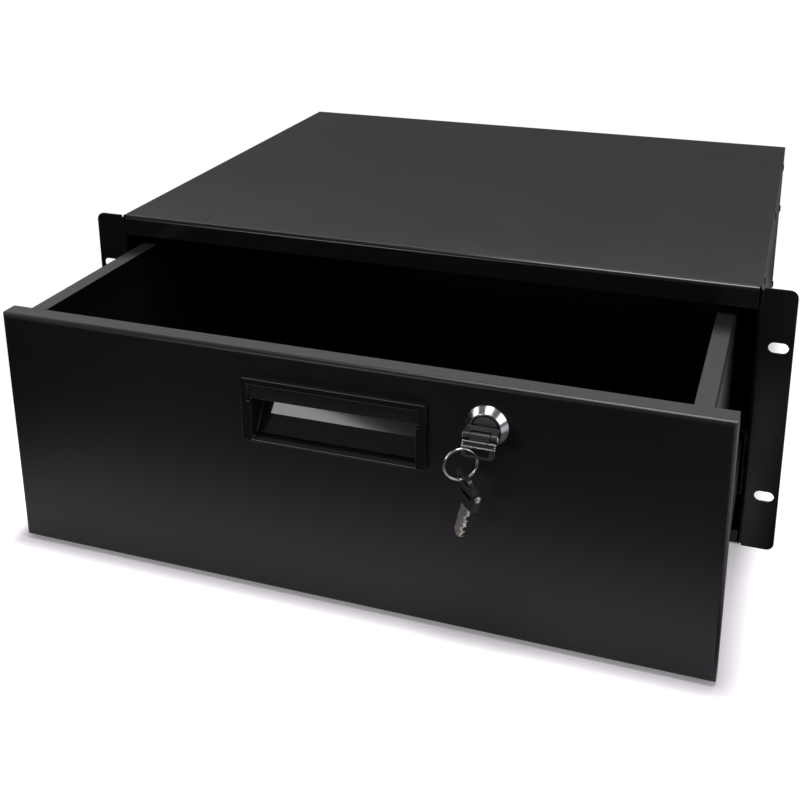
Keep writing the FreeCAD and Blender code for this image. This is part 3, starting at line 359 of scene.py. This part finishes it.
def bead_line(name, corners, pitch, size, hinge, droop, material):
    """Half balls of radius size, pitch apart along the closed outline through corners. A corner
    is (across, along, over) on the unfolded bow, in millimetres, and the bow is then turned down
    by droop degrees about the hinge, which is in metres. A ball's points are cos climb x cos
    around, cos climb x sin around and sin climb, times size, and its pole."""
    around = np.linspace(0, 2 * np.pi, BEAD_SIDES, endpoint=False)
    climb = np.radians(BEAD_CLIMB)
    ball = [(np.cos(c) * np.cos(a), np.cos(c) * np.sin(a), np.sin(c)) for c in climb
            for a in around]
    ball = np.array([*ball, (0, 0, 1)]) * size
    belts = BEAD_SIDES * (len(BEAD_CLIMB) - 1)
    faces = [(low + k, low + (k + 1) % BEAD_SIDES, low + BEAD_SIDES + (k + 1) % BEAD_SIDES,
              low + BEAD_SIDES + k)
             for low in range(0, belts, BEAD_SIDES) for k in range(BEAD_SIDES)]
    faces += [(belts + k, belts + (k + 1) % BEAD_SIDES, belts + BEAD_SIDES)
              for k in range(BEAD_SIDES)]
    ends = np.array([*corners, corners[0]])
    places = [start + (stop - start) * share for start, stop in zip(ends[:-1], ends[1:])
              for share in np.arange(0, 1, pitch / np.linalg.norm(stop - start))]
    points = (np.array(places)[:, None, :] + ball).reshape(-1, 3)
    lean = np.radians(droop)
    turned = np.column_stack([points[:, 0],
                              points[:, 1] * np.cos(lean) - points[:, 2] * np.sin(lean),
                              points[:, 1] * np.sin(lean) + points[:, 2] * np.cos(lean)])
    mesh = bpy.data.meshes.new(name)
    mesh.from_pydata((turned * MM + hinge).tolist(), [],
                     [tuple(k + len(ball) * number for k in face)
                      for number in range(len(places)) for face in faces])
    mesh.polygons.foreach_set("use_smooth", np.ones(len(mesh.polygons), dtype=bool))
    mesh.materials.append(material)
    beads = bpy.data.objects.new(name, mesh)
    bpy.context.scene.collection.objects.link(beads)
    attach(beads, BODY_OF["key_bow"])


BOW_RIM = [(-8.75, -5.9, 1.7), (8.75, -5.9, 1.7), (8.75, -3.1, 1.7), (-8.75, -3.1, 1.7)]
BOW_HINGE = (0.09, -0.1545, LOCK_RISE)
BOW_DROOP = 60
BEAD_PITCH = 1.25
BEAD_RADIUS = 0.42
# Near white all over: a painted highlight on the bow's rim, not the plastic's own colour.
rim_highlight_plastic = moulded_plastic("key_plastic_painted_highlight", "#dedcd8", 0.3)
bead_line("key_bow_beads", BOW_RIM, BEAD_PITCH, BEAD_RADIUS, BOW_HINGE, BOW_DROOP, rim_highlight_plastic)

# Studio: matt paper and five soft lamps: a long one behind, one above, one at each side, and a
# small one in front for the handle's pocket. The camera sees the paper as pure white past the
# contact shadow, but a pool of light is painted into its own colour, lilac near the case and
# darker further out and under the right ear, so the black coat mirrors little.

WHITE = (1, 1, 1, 1)
FLOOR_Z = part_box("bottom_panel")[0][2]
# Bounds in metres of the painted pool of light, the painted shade under the right ear and the
# painted light right of the case.
LIGHT_POOL = (0.01, 0.17)
CONTACT_SHADOW = (0.0, 0.02)
PAINTED_SHADE_UNDER_EAR = (0.222, 0.24)
PAINTED_LIGHT_RIGHT_OF_CASE = (0.27, 0.33)


def studio_paper(name, near_tone, far_tone, near_glow, far_glow):
    """Matt paper with a pool of light painted into its colour. Over the distance outside the
    object's footprint, which is the length of max(|place - centre| - half size, 0), its colour
    goes from near_tone to far_tone within LIGHT_POOL, and what the camera sees is lifted from
    near_glow to far_glow within CONTACT_SHADOW, both along a smooth step. Under the right ear a
    painted shade brings far_tone in at once, and right of the case the painted light comes back
    as near_tone."""
    material, output = new_material(name)
    low = np.array(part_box("front_panel")[0])
    high = np.array([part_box("front_panel")[1][0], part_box("rear_panel")[1][1], 0.0])
    centre = (low + high) / 2
    half = (high - low) / 2
    place = node(material, "ShaderNodeTexCoord").outputs["Object"]
    offset = node(material, "ShaderNodeVectorMath", {0: place, 1: centre.tolist()},
                  operation="SUBTRACT")
    size = node(material, "ShaderNodeVectorMath", {0: offset.outputs[0]}, operation="ABSOLUTE")
    beyond = node(material, "ShaderNodeVectorMath", {
        0: size.outputs[0], 1: (half[0], half[1], 1.0)}, operation="SUBTRACT")
    outside = node(material, "ShaderNodeVectorMath", {0: beyond.outputs[0], 1: (0, 0, 0)},
                   operation="MAXIMUM")
    span = node(material, "ShaderNodeVectorMath", {0: outside.outputs[0]},
                operation="LENGTH").outputs["Value"]
    pool = node(material, "ShaderNodeMapRange", {
        "Value": span, "From Min": LIGHT_POOL[0], "From Max": LIGHT_POOL[1]},
        interpolation_type="SMOOTHSTEP").outputs["Result"]
    # Painted shade under the right ear, then painted light again right of the case.
    across = node(material, "ShaderNodeSeparateXYZ", {0: place}).outputs[0]
    left_of = node(material, "ShaderNodeMapRange", {
        "Value": across, "From Min": PAINTED_LIGHT_RIGHT_OF_CASE[0], "From Max": PAINTED_LIGHT_RIGHT_OF_CASE[1],
        "To Min": 1.0, "To Max": 0.0}).outputs["Result"]
    painted_ear_shade = node(material, "ShaderNodeMapRange", {
        "Value": across, "From Min": PAINTED_SHADE_UNDER_EAR[0], "From Max": PAINTED_SHADE_UNDER_EAR[1],
        "To Min": 0.0, "To Max": 0.9}).outputs["Result"]
    shaded = node(material, "ShaderNodeMath", {0: pool, 1: painted_ear_shade},
                  operation="MAXIMUM").outputs[0]
    dark = node(material, "ShaderNodeMath", {0: shaded, 1: left_of},
                operation="MULTIPLY").outputs[0]
    tone = node(material, "ShaderNodeMix", {
        "Factor": dark, 6: linear(near_tone), 7: linear(far_tone)}, data_type="RGBA").outputs[2]
    glow = node(material, "ShaderNodeMapRange", {
        "Value": span, "From Min": CONTACT_SHADOW[0], "From Max": CONTACT_SHADOW[1],
        "To Min": near_glow, "To Max": far_glow}, interpolation_type="SMOOTHSTEP").outputs["Result"]
    path = node(material, "ShaderNodeLightPath")
    seen = node(material, "ShaderNodeMath", {0: path.outputs["Is Camera Ray"], 1: glow},
                operation="MULTIPLY").outputs[0]
    matt = node(material, "ShaderNodeBsdfDiffuse", {"Color": tone})
    light = node(material, "ShaderNodeEmission", {"Color": WHITE, "Strength": seen})
    both = node(material, "ShaderNodeAddShader", {0: matt.outputs[0], 1: light.outputs[0]})
    material.node_tree.links.new(both.outputs[0], output.inputs["Surface"])
    return material


PAPER_REACH = 2.4
paper_mesh = bpy.data.meshes.new("studio_floor")
paper_mesh.from_pydata([(-PAPER_REACH, -PAPER_REACH, FLOOR_Z), (PAPER_REACH, -PAPER_REACH, FLOOR_Z),
                        (PAPER_REACH, PAPER_REACH, FLOOR_Z), (-PAPER_REACH, PAPER_REACH, FLOOR_Z)],
                       [], [(0, 1, 2, 3)])
# The near tone's lilac tint is painted light: it tints what the black front mirrors.
paper_mesh.materials.append(studio_paper("white_studio_paper", "#f4ecf6", "#181818", 0.2, 1.0))
paper = bpy.data.objects.new("studio_floor", paper_mesh)
bpy.context.scene.collection.objects.link(paper)

DIFFUSE_FILL = 0.05
GLOSSY_FILL = 0.13
air = bpy.data.worlds.new("studio_air")
bpy.context.scene.world = air
air.use_nodes = True
air.node_tree.nodes.clear()
air_out = node(air, "ShaderNodeOutputWorld")
air_path = node(air, "ShaderNodeLightPath")
air_gloss = node(air, "ShaderNodeMapRange", {"Value": air_path.outputs["Is Glossy Ray"],
                                            "To Min": DIFFUSE_FILL, "To Max": GLOSSY_FILL})
air_fill = node(air, "ShaderNodeBackground", {"Color": WHITE,
                                              "Strength": air_gloss.outputs["Result"]})
air_seen = node(air, "ShaderNodeBackground", {"Color": WHITE, "Strength": 1.0})
air_mix = node(air, "ShaderNodeMixShader", {0: air_path.outputs["Is Camera Ray"],
                                            1: air_fill.outputs[0], 2: air_seen.outputs[0]})
air.node_tree.links.new(air_mix.outputs[0], air_out.inputs["Surface"])


def soft_lamp(name, place, aim, width, height, power, spread=180, roll=0.0):
    """An area lamp at place that faces aim, turned by roll degrees about that line, which keeps
    its light within spread degrees."""
    light = bpy.data.lights.new(name, "AREA")
    light.shape = "RECTANGLE"
    light.size = width
    light.size_y = height
    light.energy = power
    light.spread = np.radians(spread)
    lamp = bpy.data.objects.new(name, light)
    lamp.location = place
    facing = (Vector(aim) - Vector(place)).to_track_quat("-Z", "Y")
    lamp.rotation_euler = (facing @ Quaternion((0, 0, 1), np.radians(roll))).to_euler()
    lamp.visible_camera = False
    bpy.context.scene.collection.objects.link(lamp)
    return lamp


LOCK_FACE = (0.09, -0.14, 0.045)
POCKET_BACK = (-0.02, -0.13, 0.028)
soft_lamp("back_softbox", (-1.2, 3.2, 2.52), (-1.2, 0.0, 2.52), 6.4, 1.6, 55, roll=3)
soft_lamp("overhead_softbox", (0.1, -0.05, 1.15), (0.0, -0.05, 0.0), 0.6, 0.6, 3.7, spread=100)
soft_lamp("left_softbox", (-1.3, -0.1, 0.75), LOCK_FACE, 0.8, 0.8, 3.5)
soft_lamp("right_softbox", (1.35, -0.35, 0.62), LOCK_FACE, 0.9, 0.9, 3.4)
soft_lamp("front_left_softbox", (-0.70, -1.655, 0.322), POCKET_BACK, 0.64, 0.36, 3.9, roll=-10)

# Camera: stands right of and above the drawer, where the photograph was taken from. Its place,
# heading and lens were worked out from the object's corners and outline in the picture, and the
# shift puts the lens axis where the photograph has it.

IMAGE_WIDTH = 800
CAMERA_PLACE = (0.23615, -0.67823, 0.3439)
FOCAL_PIXELS = 1160.6
AXIS_PIXEL = (418.2, 204.2)
heading, dip, roll = np.radians([-18.998, 17.43, -0.135])
look = np.array([np.sin(heading) * np.cos(dip), np.cos(heading) * np.cos(dip), -np.sin(dip)])
right = np.cross(look, (0, 0, 1))
right /= np.linalg.norm(right)
up = np.cross(right, look)
rolled_right = np.cos(roll) * right + np.sin(roll) * up
rolled_up = np.cos(roll) * up - np.sin(roll) * right
optics = bpy.data.cameras.new("photo_camera")
optics.sensor_width = 36.0
optics.lens = FOCAL_PIXELS / IMAGE_WIDTH * optics.sensor_width
optics.shift_x = (IMAGE_WIDTH / 2 - AXIS_PIXEL[0]) / IMAGE_WIDTH
optics.shift_y = (AXIS_PIXEL[1] - IMAGE_WIDTH / 2) / IMAGE_WIDTH
optics.clip_start = 0.01
camera = bpy.data.objects.new("photo_camera", optics)
turn = Matrix(np.column_stack([rolled_right, rolled_up, -look]).tolist()).to_4x4()
camera.matrix_world = Matrix.Translation(CAMERA_PLACE) @ turn
bpy.context.scene.collection.objects.link(camera)
bpy.context.scene.camera = camera
bpy.context.scene.view_settings.view_transform = "Standard"
